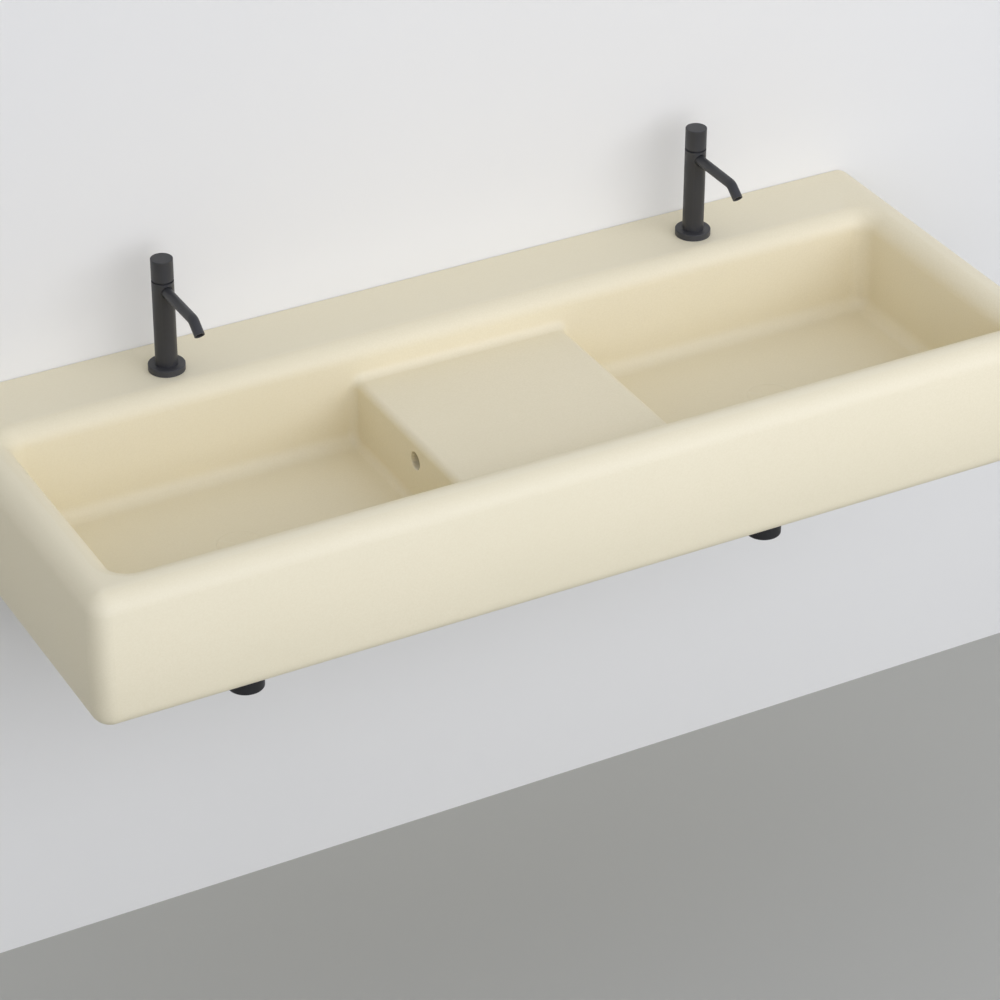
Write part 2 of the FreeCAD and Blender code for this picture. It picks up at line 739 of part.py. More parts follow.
def trap_cup(x):
    """Lower half of the bottle, unscrewed for cleaning."""
    body = disc(x, waste_y, trap_bottom_z, cup_top_z, trap_radius)
    body = body.makeFillet(cup_edge, edges_of(body, at_level(trap_bottom_z)))
    return body.cut(disc(x, waste_y, trap_bottom_z + cup_floor, cup_top_z, trap_radius - trap_wall))


def cup_seal(x):
    return ring(x, waste_y, cup_top_z, head_low_z, trap_radius - seal_clearance, trap_radius - trap_wall)


def trap_outlet(x):
    """Nut and seal on the branch, and the rosette on the wall."""
    branch_end = waste_y + trap_radius + branch_length
    seal_end = branch_end + outlet_seal
    start = branch_end - trap_nut_grip
    nut = wall_disc(x, outlet_z, start, seal_end + trap_nut_lip, trap_nut_radius)
    nut = nut.cut(wall_disc(x, outlet_z, start, seal_end, neck_radius + thread_clearance))
    nut = nut.cut(wall_disc(x, outlet_z, seal_end, seal_end + trap_nut_lip, pipe_radius + slip_clearance))
    cone = Part.makeCone(pipe_radius + rosette_edge, rosette_radius, rosette_depth - rosette_edge,
                         Vec(x, -rosette_depth, outlet_z), INTO_WALL)
    rosette = cone.fuse(wall_disc(x, outlet_z, -rosette_edge, 0, rosette_radius))
    return {"trap_outlet_nuts": nut,
            "trap_outlet_seals": wall_ring(x, outlet_z, branch_end, seal_end, neck_radius - seal_clearance,
                                           pipe_radius + seal_clearance),
            "wall_rosettes": rosette.cut(wall_disc(x, outlet_z, -rosette_depth, 0,
                                                   pipe_radius + slip_clearance))}


def outlet_pipe(x):
    """Straight pipe from the branch into the wall, with a turned end."""
    start = waste_y + trap_radius + branch_length - branch_stop
    body = wall_disc(x, outlet_z, start, 0, pipe_radius)
    body = body.fuse(wall_disc(x, outlet_z, 0, outlet_in_wall, outlet_end_radius))
    return body.cut(wall_disc(x, outlet_z, start, outlet_in_wall, pipe_bore_radius))


# Pieces that get a node on each side, by the name that follows left or right
SIDE_PIECES = {"tap_flange": tap_flange, "tap_column": tap_column, "tap_spout": tap_spout,
               "tap_headwork": tap_headwork, "moving_disc": moving_disc, "tap_spindle": tap_spindle,
               "tap_knob": tap_knob, "knob_screw": knob_screw, "waste_body": waste_body,
               "click_unit": click_unit, "plug_cover": plug_cover, "plug_stem": plug_stem,
               "plug_seal": plug_seal, "dip_tube": dip_tube, "trap_head": trap_head,
               "trap_cup": trap_cup, "outlet_pipe": outlet_pipe}

# Small pieces that share one node for both sides
PAIRED_PIECES = {"spout_inserts": spout_insert, "fixed_discs": fixed_disc, "glide_rings": glide_ring,
                 "tap_tails": tap_tail, "trap_cup_seals": cup_seal}
PAIRED_SETS = (tap_clamping, waste_clamping, trap_inlet, trap_gland, trap_outlet)


def all_nodes():
    """Every node's name and shape."""
    nodes = {"basin_body": basin_body()}
    for name, solids in wall_fixings().items():
        nodes[name] = Part.makeCompound(solids)
    for side_name, side in SIDES:
        for piece, make in SIDE_PIECES.items():
            nodes[side_name + "_" + piece] = make(side * axis_x)
    for name, make in PAIRED_PIECES.items():
        nodes[name] = Part.makeCompound([make(side * axis_x) for side_name, side in SIDES])
    for make_set in PAIRED_SETS:
        left, right = [make_set(side * axis_x) for side_name, side in SIDES]
        for name in left:
            nodes[name] = Part.makeCompound([left[name], right[name]])
    return nodes


os.makedirs("parts", exist_ok=True)
for node_name, shape in all_nodes().items():
    shape.exportStep("parts/" + node_name + ".step")
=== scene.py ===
"""Dresses the washbasin: matt cream glaze, black taps and traps, threads, nuts, seals and a plain stage."""
import json
import math

import bmesh
import bpy
from mathutils import Matrix, Vector


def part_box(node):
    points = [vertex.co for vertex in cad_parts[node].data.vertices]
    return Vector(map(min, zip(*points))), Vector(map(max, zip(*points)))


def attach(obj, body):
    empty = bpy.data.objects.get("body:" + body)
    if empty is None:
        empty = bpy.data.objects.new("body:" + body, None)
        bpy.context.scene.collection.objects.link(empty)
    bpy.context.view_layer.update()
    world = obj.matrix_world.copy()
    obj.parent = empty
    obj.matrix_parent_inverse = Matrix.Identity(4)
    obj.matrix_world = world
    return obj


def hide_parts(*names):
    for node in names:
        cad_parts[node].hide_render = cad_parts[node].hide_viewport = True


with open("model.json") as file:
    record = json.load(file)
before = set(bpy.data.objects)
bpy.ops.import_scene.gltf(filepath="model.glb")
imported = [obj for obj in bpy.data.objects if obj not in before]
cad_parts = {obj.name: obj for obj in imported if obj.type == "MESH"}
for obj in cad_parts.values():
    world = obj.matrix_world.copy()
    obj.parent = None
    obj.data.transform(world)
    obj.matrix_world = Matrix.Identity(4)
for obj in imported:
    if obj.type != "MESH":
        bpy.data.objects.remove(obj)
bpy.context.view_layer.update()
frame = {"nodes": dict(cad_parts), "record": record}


# Places and levels in mm, the same as in the part's source.
MM = 0.001
SIDES = (("left", -1), ("right", 1))
AXIS = 396.5
TAP, WASTE = -68.0, -281.0
BOLTS = (-560, -140, 140, 560)
DECK = 80.0
COVER_LOW, COVER_HIGH = -74.5, -69.5
BOSS_LOW, WASTE_END = -99.0, -140.2
TRAP_NECK, OUTLET = -156.8, -204.0
CUP_TOP, CUP_LOW = -229.0, -288.0
BRANCH_END = WASTE + 47

# Radii and one lip in mm that several pieces share.
TAP_TAIL_HOLE = 10.3
WASTE_NUT_BORE = 20.96
HAND_NUT, HAND_NUT_LIP = 24.5, 3
PIPE_HOLE = 16.15
CUP = 25

# Bow of the basin's outer faces in m, its onset per m. It is shading only: the solids are flat there.
BOW_MIDDLE, BOW_RADIUS = -0.016, 0.37
BOW_END, BOW_FRONT = 0.669, -0.502
BOW_FOOT = (-0.098, -0.082)
BOW_ONSET = 160.0

# Stage in m. The openings in the wall are smaller than what stands over them.
FLOOR_Z, WALL_Y = -0.835, 0.0015
STAGE_X, STAGE_Y, WALL_TOP = 9, 12, 7
OPENING_INSET, OPENING_CORNER = 0.002, 0.03
ROSETTE_OPENING = 0.031
ARC_STEP = 15

# Camera in m, mm of lens and degrees.
CAMERA_PLACE = (-2.0050, -3.9288, 2.4927)
CAMERA_PITCH, CAMERA_YAW, CAMERA_ROLL = 32.119, 28.549, 0.268
CAMERA_LENS, CAMERA_SENSOR, CAMERA_REACH = 133.57, 36.0, 60

# Lights, all of one tint: name, place and aim in m, size in m and power in W.
LIGHT_TINT = (0.966, 1.0, 1.13)
WORLD_STRENGTH = 0.495
BASIN_MIDDLE = (0, -0.3, 0)
LIGHTS = (
    ("key_light", (0.7, -3.4, 1.7), BASIN_MIDDLE, (5.0, 1.8), 32),
    ("key_core", (0.3, -3.4, 1.7), BASIN_MIDDLE, (4.4, 1.8), 23.5),
    ("right_soft", (3.4, -3.0, 1.5), BASIN_MIDDLE, (1.6, 1.6), 18.5),
    ("front_fill", (0.4, -4.4, 0.5), BASIN_MIDDLE, (4.8, 1.6), 30.5),
    ("rear_light", (-1.6, 3.4, 1.8), (0, 0, -0.05), (2.4, 2.0), 25),
)


# Materials
class Nodes:
    """Short way to build one node material."""

    def __init__(self, name, color, roughness, metallic=0.0, specular=0.5):
        self.mat = bpy.data.materials.new(name)
        self.mat.use_nodes = True
        self.tree = self.mat.node_tree
        self.bsdf = self.tree.nodes["Principled BSDF"]
        self.bsdf.inputs["Base Color"].default_value = (*color, 1)
        self.bsdf.inputs["Roughness"].default_value = roughness
        self.bsdf.inputs["Metallic"].default_value = metallic
        self.bsdf.inputs["Specular IOR Level"].default_value = specular
        self.coord = self.add("ShaderNodeTexCoord").outputs["Object"]

    def add(self, kind, **props):
        node = self.tree.nodes.new(kind)
        for key, value in props.items():
            setattr(node, key, value)
        return node

    def link(self, out, to):
        self.tree.links.new(out, to)

    def noise(self, scale, detail, rough=0.5, stretch=(1, 1, 1)):
        place = self.add("ShaderNodeMapping")
        place.inputs["Scale"].default_value = stretch
        self.link(self.coord, place.inputs["Vector"])
        node = self.add("ShaderNodeTexNoise")
        node.inputs["Scale"].default_value = scale
        node.inputs["Detail"].default_value = detail
        node.inputs["Roughness"].default_value = rough
        self.link(place.outputs["Vector"], node.inputs["Vector"])
        return node.outputs["Fac"]

    def edges(self):
        """Convex edges, from the mesh's own pointiness."""
        return self.add("ShaderNodeNewGeometry").outputs["Pointiness"]

    def ramp(self, value, source, target=(0.0, 1.0)):
        """Maps one span of values to another and holds it at both ends."""
        node = self.add("ShaderNodeMapRange")
        node.inputs["From Min"].default_value, node.inputs["From Max"].default_value = source
        node.inputs["To Min"].default_value, node.inputs["To Max"].default_value = target
        self.link(value, node.inputs["Value"])
        return node.outputs["Result"]

    def mix(self, value, one, two):
        node = self.add("ShaderNodeMix", data_type="RGBA")
        for key, color in (("A", one), ("B", two)):
            socket = [s for s in node.inputs if s.name == key and s.type == "RGBA"][0]
            if isinstance(color, tuple):
                socket.default_value = (*color, 1)
            else:
                self.link(color, socket)
        self.link(value, node.inputs["Factor"])
        return [s for s in node.outputs if s.type == "RGBA"][0]

    def calc(self, kind, one, two=None, clamp=False):
        node = self.add("ShaderNodeMath", operation=kind, use_clamp=clamp)
        for socket, value in zip(node.inputs, (one, two)):
            if isinstance(value, (int, float)):
                socket.default_value = value
            elif value is not None:
                self.link(value, socket)
        return node.outputs["Value"]

    def split(self, vector):
        node = self.add("ShaderNodeSeparateXYZ")
        self.link(vector, node.inputs["Vector"])
        return [node.outputs[axis] for axis in "XYZ"]

    def bowed(self, normal):
        """Tips the normals of the basin's outer faces as if these were bowed from top to bottom."""
        x, y, z = self.split(self.coord)
        tilt = self.split(normal)[2]
        steep = self.calc("SUBTRACT", 1.0, self.calc("MULTIPLY", tilt, tilt))
        past_end = self.calc("SUBTRACT", self.calc("ABSOLUTE", x), BOW_END)
        past_front = self.calc("SUBTRACT", BOW_FRONT, y)
        outer = self.calc("MAXIMUM", self.calc("MULTIPLY", past_end, BOW_ONSET, clamp=True),
                          self.calc("MULTIPLY", past_front, BOW_ONSET, clamp=True))
        lean = self.calc("DIVIDE", self.calc("SUBTRACT", z, BOW_MIDDLE), BOW_RADIUS)
        lean = self.calc("MULTIPLY", self.calc("MULTIPLY", lean, steep), outer)
        lean = self.calc("MULTIPLY", lean, self.ramp(z, BOW_FOOT))
        offset = self.add("ShaderNodeCombineXYZ")
        self.link(lean, offset.inputs["Z"])
        tipped = self.add("ShaderNodeVectorMath", operation="ADD")
        self.link(normal, tipped.inputs[0])
        self.link(offset.outputs["Vector"], tipped.inputs[1])
        unit = self.add("ShaderNodeVectorMath", operation="NORMALIZE")
        self.link(tipped.outputs["Vector"], unit.inputs[0])
        return unit.outputs["Vector"]

    def bump(self, height, strength, distance, after=None):
        node = self.add("ShaderNodeBump")
        node.inputs["Strength"].default_value = strength
        node.inputs["Distance"].default_value = distance
        self.link(height, node.inputs["Height"])
        if after is not None:
            self.link(after, node.inputs["Normal"])
        return node.outputs["Normal"]

    def finish(self, color, roughness, normal):
        self.link(color, self.bsdf.inputs["Base Color"])
        self.link(roughness, self.bsdf.inputs["Roughness"])
        self.link(normal, self.bsdf.inputs["Normal"])
        return self.mat


def srgb(*display):
    """Linear colour from 0 to 255 display values."""
    shares = (value / 255 for value in display)
    return tuple(v / 12.92 if v <= 0.04045 else ((v + 0.055) / 1.055) ** 2.4 for v in shares)


def scaled(tone, factor):
    return tuple(v * factor for v in tone)


def glaze(name, bowed):
    """Matt cream glaze: slow tone drift, fine grain, paler edges, faint undulation, bowed outer faces."""
    n = Nodes(name, srgb(240, 229, 197), 0.55)
    n.bsdf.inputs["Coat Weight"].default_value = 0.08
    n.bsdf.inputs["Coat Roughness"].default_value = 0.45
    drift = n.ramp(n.noise(scale=2.2, detail=3.0), (0.3, 0.7))
    color = n.mix(drift, srgb(238, 228, 196), srgb(241, 230, 199))
    grain = n.ramp(n.noise(scale=420.0, detail=3.0, rough=0.6), (0.35, 0.7))
    color = n.mix(grain, color, srgb(236, 225, 192))
    color = n.mix(n.ramp(n.edges(), (0.505, 0.56), (0.0, 0.35)), color, srgb(243, 235, 208))
    rough = n.ramp(n.noise(scale=9.0, detail=4.0), (0.3, 0.7), (0.5, 0.6))
    wave = n.bump(n.noise(scale=6.0, detail=2.0), strength=0.25, distance=0.0012)
    pores = n.noise(scale=650.0, detail=3.0, rough=0.65)
    skin = n.bump(pores, strength=0.10, distance=0.00025, after=wave)
    return n.finish(color, rough, n.bowed(skin) if bowed else skin)


def black_coat(name, tone, scale=900.0):
    """Matt black powder coat: fine orange peel, lighter edges, soft changes of gloss."""
    n = Nodes(name, tone, 0.42, specular=0.42)
    grain = n.ramp(n.noise(scale=scale, detail=3.0, rough=0.6), (0.4, 0.7))
    color = n.mix(grain, tone, scaled(tone, 1.12))
    color = n.mix(n.ramp(n.edges(), (0.52, 0.6), (0.0, 0.6)), color, scaled(tone, 1.45))
    rough = n.ramp(n.noise(scale=45.0, detail=4.0), (0.3, 0.7), (0.36, 0.5))
    peel = n.noise(scale=scale * 1.6, detail=2.0)
    return n.finish(color, rough, n.bump(peel, strength=0.18, distance=0.0001))


def metal(name, tone, roughness, stretch, patches=None):
    """Bare metal with drawn or turned streaks and dull patches."""
    n = Nodes(name, tone, roughness, metallic=1.0)
    streak = n.noise(scale=700.0, detail=3.0, rough=0.6, stretch=stretch)
    patch = n.ramp(n.noise(scale=60.0, detail=4.0), (0.35, 0.7), (0.0, 0.5))
    color = n.mix(patch, tone, patches or scaled(tone, 0.78))
    rough = n.ramp(streak, (0.3, 0.7), (roughness * 0.8, roughness * 1.3))
    return n.finish(color, rough, n.bump(streak, strength=0.12, distance=0.00008))


def plastic(name, tone, roughness, grain=0.12):
    """Moulded plastic, rubber or lapped ceramic with a fine grain."""
    n = Nodes(name, tone, roughness, specular=0.4)
    patch = n.ramp(n.noise(scale=80.0, detail=4.0), (0.35, 0.7), (0.0, 0.4))
    color = n.mix(patch, tone, scaled(tone, 0.86))
    span = (roughness * 0.88, min(1.0, roughness * 1.15))
    rough = n.ramp(n.noise(scale=300.0, detail=3.0), (0.3, 0.7), span)
    fine = n.noise(scale=1400.0, detail=3.0, rough=0.6)
    return n.finish(color, rough, n.bump(fine, strength=grain, distance=0.0001))


SLOT_MATERIALS = {
    "basin_glaze": glaze("matt_cream_glaze", bowed=True),
    "cover_glaze": glaze("matt_cream_cover", bowed=False),
    "tap_black": black_coat("matt_black_tap", srgb(52, 52, 53)),
    "trap_black": black_coat("matt_black_trap", srgb(35, 35, 36), scale=700.0),
    "brass": metal("turned_brass", srgb(205, 172, 104), 0.28, (1, 1, 6), srgb(168, 128, 70)),
    "steel": metal("stainless_steel", srgb(190, 190, 192), 0.3, (1, 6, 1)),
    "waste_chrome": metal("chromed_brass", srgb(214, 216, 219), 0.1, (1, 1, 4), srgb(196, 198, 201)),
    "white_plastic": plastic("white_nylon", srgb(226, 226, 220), 0.5),
    "dark_plastic": plastic("dark_acetal", srgb(38, 38, 39), 0.45),
    "rubber": plastic("black_rubber", srgb(42, 42, 43), 0.72, grain=0.2),
    "valve_ceramic": plastic("lapped_ceramic", srgb(236, 234, 226), 0.25, grain=0.04),
}

for part in frame["record"]["subparts"]:
    mesh = frame["nodes"][part["node"]].data
    mesh.materials.clear()
    mesh.materials.append(SLOT_MATERIALS[part["material_slot"]])


# Mesh helpers, with sizes in mm
ROUND_STEPS = 3
BOX_FACES = [(0, 1, 3, 2), (4, 6, 7, 5), (0, 4, 5, 1), (2, 3, 7, 6), (0, 2, 6, 4), (1, 5, 7, 3)]


def around(radius, angle, height):
    """Point on a round about the upright axis."""
    return radius * math.cos(angle), radius * math.sin(angle), height


def hexagon(half, angle):
    """Reach of a hexagon in one direction, from half its size across flats."""
    return half / math.cos((angle % math.radians(60)) - math.radians(30))


def soften(outline, edge, closed=True):
    """Rounds the corners of an (r, h) outline and adds holding points beside each round.

    A corner may give its own radius as a third number. An open outline keeps its two ends.
    """
    count = len(outline)
    out = []
    for index, corner in enumerate(outline):
        if not closed and index in (0, count - 1):
            out.append(tuple(corner[:2]))
            continue
        here = Vector(corner[:2])
        back = Vector(outline[index - 1][:2]) - here
        on = Vector(outline[(index + 1) % count][:2]) - here
        size = corner[2] if len(corner) > 2 else edge
        reach_back = min(size, 0.4 * back.length)
        reach_on = min(size, 0.4 * on.length)
        start = here + back.normalized() * reach_back
        end = here + on.normalized() * reach_on
        out.append(tuple(start + back.normalized() * min(0.4, 0.2 * reach_back + 0.02)))
        for step in range(ROUND_STEPS + 1):
            t = step / ROUND_STEPS
            out.append(tuple(start * (1 - t) ** 2 + here * 2 * t * (1 - t) + end * t ** 2))
        out.append(tuple(end + on.normalized() * min(0.4, 0.2 * reach_on + 0.02)))
    return out


def skin(rows, steps, closed=True):
    """Faces of an outline of some rows that is turned in some steps."""
    faces = []
    for turn in range(steps):
        here, there = turn * rows, (turn + 1) % steps * rows
        for row in range(rows if closed else rows - 1):
            above = (row + 1) % rows
            faces.append((here + row, there + row, there + above, here + above))
    return faces


def lathe(outline, closed=True, steps=96, shape=None):
    """Turns an (r, h) outline about the upright axis. shape(r, h, angle) may change each radius."""
    verts = []
    for turn in range(steps):
        angle = 2 * math.pi * turn / steps
        for radius, height in outline:
            verts.append(around(shape(radius, height, angle) if shape else radius, angle, height))
    return verts, skin(len(outline), steps, closed)


def turned(outline, edge, closed=True, steps=96, shape=None):
    """Turned piece whose outline has rounded corners."""
    return lathe(soften(outline, edge, closed), closed, steps, shape)


def ring(low, high, radius, bore, edge, steps=96):
    return turned([(bore, low), (radius, low), (radius, high), (bore, high)], edge, steps=steps)


def hex_nut(flats, height, bore, steps=72):
    """Hexagon nut with both faces turned to a 30 degree chamfer and a countersunk bore."""
    half = flats / 2
    round_edge = half * 0.97
    slope = math.tan(math.radians(30))
    sink = min(0.9, (half - bore) * 0.25)
    verts = []
    for turn in range(steps):
        angle = 2 * math.pi * turn / steps
        reach = hexagon(half, angle)
        drop = (reach - round_edge) * slope
        outline = [(bore, sink), (bore + sink, 0), (round_edge, 0), (reach, drop), (reach, height - drop),
                   (round_edge, height), (bore + sink, height), (bore, height - sink)]
        verts += [around(r, angle, h) for r, h in outline]
    return verts, skin(len(verts) // steps, steps)


def thread(root, crest, low, high, pitch, steps=36):
    """Helical thread skin between two heights, fading to its root at both ends."""
    bands = ((0.0, root), (0.35, crest), (0.5, crest), (0.85, root))
    lead = len(bands)
    rows = int((high - low) / pitch * lead) + 2 * lead
    verts, faces = [], []
    for row in range(rows):
        part, band_radius = bands[row % lead]
        for turn in range(steps):
            height = low - pitch + pitch * (row // lead + part + turn / steps)
            fade = max(0.0, min(1.0, (height - low) / pitch, (high - height) / pitch))
            radius = root + (band_radius - root) * fade
            verts.append(around(radius, 2 * math.pi * turn / steps, max(low, min(high, height))))
    for row in range(rows - lead):
        for turn in range(steps):
            here = row * steps + turn
            beside = here + 1 if turn + 1 < steps else (row + lead) * steps
            if beside + steps < len(verts):
                faces.append((here, beside, beside + steps, here + steps))
    return verts, faces


def arms(count, near, far, half, low, high, first=0):
    """Box-shaped arms spread evenly about the upright axis."""
    corners = [(a, b, c) for a in (near, far) for b in (-half, half) for c in (low, high)]
    return [moved((corners, BOX_FACES), 0, 0, 0, turn=first + i * 360 / count) for i in range(count)]


def moved(shape, x, y, z, into_wall=False, turn=0.0):
    """Shape with its axis upright, or turned to point into the wall, at a place in mm."""
    verts, faces = shape
    cos, sin = math.cos(math.radians(turn)), math.sin(math.radians(turn))
    out = []
    for a, b, c in verts:
        a, b = a * cos - b * sin, a * sin + b * cos
        out.append((x + a, y + c, z - b) if into_wall else (x + a, y + b, z + c))
    return out, faces


def aimed(shape, start, ahead):
    """Shape with its axis along a direction from a start point in mm."""
    turn = ahead.to_track_quat("Z", "Y").to_matrix()
    verts, faces = shape
    return [tuple(turn @ Vector(v) + start) for v in verts], faces


def flipped(shape, middle):
    """Shape turned upside down about a height."""
    verts, faces = shape
    return [(a, -b, 2 * middle - c) for a, b, c in verts], faces


def piece(name, nodes, slot, body, shapes, sharp=32.0):
    """One dressed piece made of several shapes, standing for CAD nodes."""
    mesh = bpy.data.meshes.new(name)
    work = bmesh.new()
    for verts, faces in shapes:
        made = [work.verts.new(Vector(v) * MM) for v in verts]
        for face in faces:
            work.faces.new([made[i] for i in face])
    bmesh.ops.remove_doubles(work, verts=work.verts, dist=1e-7)
    bmesh.ops.dissolve_degenerate(work, edges=work.edges, dist=1e-7)
    bmesh.ops.recalc_face_normals(work, faces=work.faces)
    for face in work.faces:
        face.smooth = True
    work.to_mesh(mesh)
    work.free()
    mesh.set_sharp_from_angle(angle=math.radians(sharp))
    mesh.materials.append(SLOT_MATERIALS[slot])
    obj = bpy.data.objects.new(name, mesh)
    bpy.context.scene.collection.objects.link(obj)
    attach(obj, body)
    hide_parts(*nodes)


def both(make):
    """The shapes that make(x) gives for the left and the right side."""
    return [shape for _, side in SIDES for shape in make(side * AXIS)]


# Wall fixings
def bolt_shapes(x):
    """Hanger bolt: machine thread in the room, wood thread and point in the wall."""
    core = [(0, -35), (3.4, -35), (4.15, -34), (4.15, 1), (3.9, 2), (3.9, 64), (0, 64)]
    point = [(0, 64), (3.9, 64), (2.6, 68.5), (0.9, 70), (0, 70)]
    shapes = [lathe(core, closed=False, steps=36), lathe(point, closed=False, steps=36),
              thread(4.15, 4.78, -34, 0, 1.5), thread(3.9, 4.95, 3, 66, 3.0, steps=40)]
    return [moved(shape, x, 0, 0, into_wall=True) for shape in shapes]


piece("wall_bolt_screws", ["wall_bolts"], "steel", "basin",
      [shape for x in BOLTS for shape in bolt_shapes(x)], sharp=25)
piece("bolt_hex_nuts", ["bolt_nuts"], "steel", "basin",
      [moved(hex_nut(17, 8, 4.86), x, -27, 0, into_wall=True, turn=7 * i) for i, x in enumerate(BOLTS)])
piece("bolt_flat_washers", ["bolt_washers"], "steel", "basin",
      [moved(ring(0, 2, 15, 5.0, 0.5), x, -19, 0, into_wall=True) for x in BOLTS])


# Tap fittings
def aerator(x):
    """Ring in the spout's end with a grid of eight spokes and one inner ring."""
    drop = math.radians(38)
    ahead = Vector((0, -math.cos(drop), -math.sin(drop)))
    spout_end = Vector((x, TAP - 94, DECK + 118.5)) + ahead * 22.5
    start = spout_end - ahead * 7.2
    shapes = [ring(0, 6, 5.5, 4.0, 0.25, steps=64), ring(3.6, 5.2, 2.45, 2.0, 0.08, steps=48)]
    return [aimed(shape, start, ahead) for shape in shapes + arms(8, 0.25, 4.1, 0.17, 3.4, 5.1)]


def tail_shapes(x):
    """Threaded tail with a plain upper shank."""
    core = turned([(7, 20), (9.6, 20), (9.6, 52), (10.15, 53), (10.15, 94), (7, 94)], 0.3, steps=64)
    return [moved(core, x, TAP, 0), moved(thread(9.6, 10.38, 20.6, 51.5, 1.8, steps=48), x, TAP, 0)]


def grub_screw(x):
    """Grub screw with a hexagon socket, in the back of the knob."""
    wall = 1.0
    outline = [(0, 5.2), (wall, 5.2), (wall, 9.85), (1.75, 9.85), (1.98, 9.6), (1.98, 0.2), (0, 0)]

    def socket(radius, height, angle):
        return hexagon(0.95, angle) if radius == wall else radius
    return moved(lathe(outline, closed=False, steps=48, shape=socket), x, TAP + 4.05, 220, into_wall=True)


piece("spout_aerators", ["spout_inserts"], "dark_plastic", "basin", both(aerator))
piece("tap_tail_threads", ["tap_tails"], "brass", "basin", both(tail_shapes), sharp=25)
piece("tap_hex_nuts", ["tap_back_nuts"], "brass", "basin",
      both(lambda x: [moved(hex_nut(30, 9, 10.26), x, TAP, 54)]))
piece("tap_steel_washers", ["tap_clamp_washers"], "steel", "basin",
      both(lambda x: [moved(ring(0, 2, 21, TAP_TAIL_HOLE, 0.5), x, TAP, 63)]))
piece("tap_rubber_washers", ["tap_deck_washers"], "rubber", "basin",
      both(lambda x: [moved(ring(0, 3, 23, TAP_TAIL_HOLE, 1.0), x, TAP, 65)]))
for name, side in SIDES:
    piece(name + "_grub_screw", [name + "_knob_screw"], "steel", name + "_knob", [grub_screw(side * AXIS)])


# Wastes
def click_shapes(x):
    """Click cartridge: cup with guide slots in its wall and three arms."""
    wall, arm_end, arm_half = 8, 17.35, 2.4
    high = COVER_LOW - 3 - 14
    low = high - 26

    def slots(radius, height, angle):
        cut = radius > 7.5 and low + 8 < height < high - 3 and math.cos(6 * angle) > 0.3
        return radius - 0.9 if cut else radius
    outline = [(0, low), (wall, low, 0.6), (wall, low + 7.5, 0.1), (wall, low + 9, 0.1),
               (wall, high - 4, 0.1), (wall, high - 2.5, 0.1), (wall, high, 0.5), (5.25, high, 0.3),
               (5.25, low + 3), (0, low + 3)]
    cup = turned(outline, 0.2, closed=False, shape=slots)
    reach = math.sqrt(arm_end ** 2 - arm_half ** 2)
    return [moved(shape, x, WASTE, 0)
            for shape in [cup] + arms(3, 7.9, reach, arm_half, low + 0.1, low + 5.9, first=90)]


def cover_shapes(x):
    """Glazed waste cover ground to its seat, with a fine round edge."""
    outline = [(0, COVER_LOW), (30.3, COVER_LOW, 0.3), (30.3, COVER_HIGH, 0.22), (0, COVER_HIGH)]
    return [moved(turned(outline, 0.2, closed=False, steps=144), x, WASTE, 0)]


def stem_shapes(x):
    """Grooved plug stem with a wide head for the seal."""
    top = COVER_LOW
    low = top - 3
    outline = [(0, low - 34), (3.8, low - 34, 0.5), (5, low - 32.5, 0.5), (5, low - 20, 0.2),
               (4.2, low - 19, 0.2), (4.2, low - 17.5, 0.2), (5, low - 16.5, 0.2), (5, low - 1.5, 1.2),
               (8.5, low, 0.8), (15.8, low, 0.3), (15.8, low + 0.8, 0.3), (14, low + 0.8, 0.1),
               (14, top), (0, top)]
    return [moved(turned(outline, 0.1, closed=False), x, WASTE, 0)]


piece("waste_hex_nuts", ["waste_nuts"], "brass", "basin",
      both(lambda x: [moved(hex_nut(54, 10, WASTE_NUT_BORE, steps=96), x, WASTE, BOSS_LOW - 14, turn=12)]))
piece("waste_rubber_washers", ["waste_washers"], "rubber", "basin",
      both(lambda x: [moved(ring(BOSS_LOW - 4, BOSS_LOW, 34, WASTE_NUT_BORE, 1.3), x, WASTE, 0)]))
for name, side in SIDES:
    x = side * AXIS
    piece(name + "_cover_cap", [name + "_plug_cover"], "cover_glaze", name + "_plug", cover_shapes(x))
    piece(name + "_click_cartridge", [name + "_click_unit"], "dark_plastic", "basin", click_shapes(x))
    piece(name + "_plug_spindle", [name + "_plug_stem"], "white_plastic", name + "_plug", stem_shapes(x))
    piece(name + "_plug_ring", [name + "_plug_seal"], "rubber", name + "_plug",
          [moved(ring(COVER_LOW - 2.2, COVER_LOW - 0.3, 17.2, 14.05, 0.7), x, WASTE, 0)])


# Traps
def ribbed(count, depth, low, high, inner):
    """Radius change that cuts round flutes into the outer wall between two heights."""
    def shape(radius, height, angle):
        if radius < inner or not low <= height <= high:
            return radius
        return radius - depth * (0.5 - 0.5 * math.cos(count * angle)) ** 2
    return shape


def grip_nut(low, high):
    """Hand nut with flutes all round, a plain collar and a lipped end."""
    radius, bore, lip = HAND_NUT, WASTE_NUT_BORE, high - HAND_NUT_LIP
    outline = [(bore, low, 0.4), (radius, low, 0.8), (radius, low + 2.2, 0.1), (radius, low + 2.6, 0.1),
               (radius, high - 2.6, 0.1), (radius, high - 2.2, 0.1), (radius, high, 1.0),
               (PIPE_HOLE, high, 0.3), (PIPE_HOLE, lip, 0.2), (bore, lip, 0.2)]
    flutes = ribbed(count=24, depth=0.9, low=low + 2.5, high=high - 2.5, inner=radius - 0.5)
    return turned(outline, 0.3, steps=192, shape=flutes)


def inlet_nut(x):
    low, high = WASTE_END - 6, WASTE_END + 16
    return [moved(flipped(grip_nut(low, high), (low + high) / 2), x, WASTE, 0)]


def gland_nut(x):
    return [moved(grip_nut(TRAP_NECK - 12.85, TRAP_NECK + 7), x, WASTE, 0)]


def outlet_nut(x):
    return [moved(grip_nut(BRANCH_END - 16, BRANCH_END + 5.5), x, 0, OUTLET, into_wall=True)]


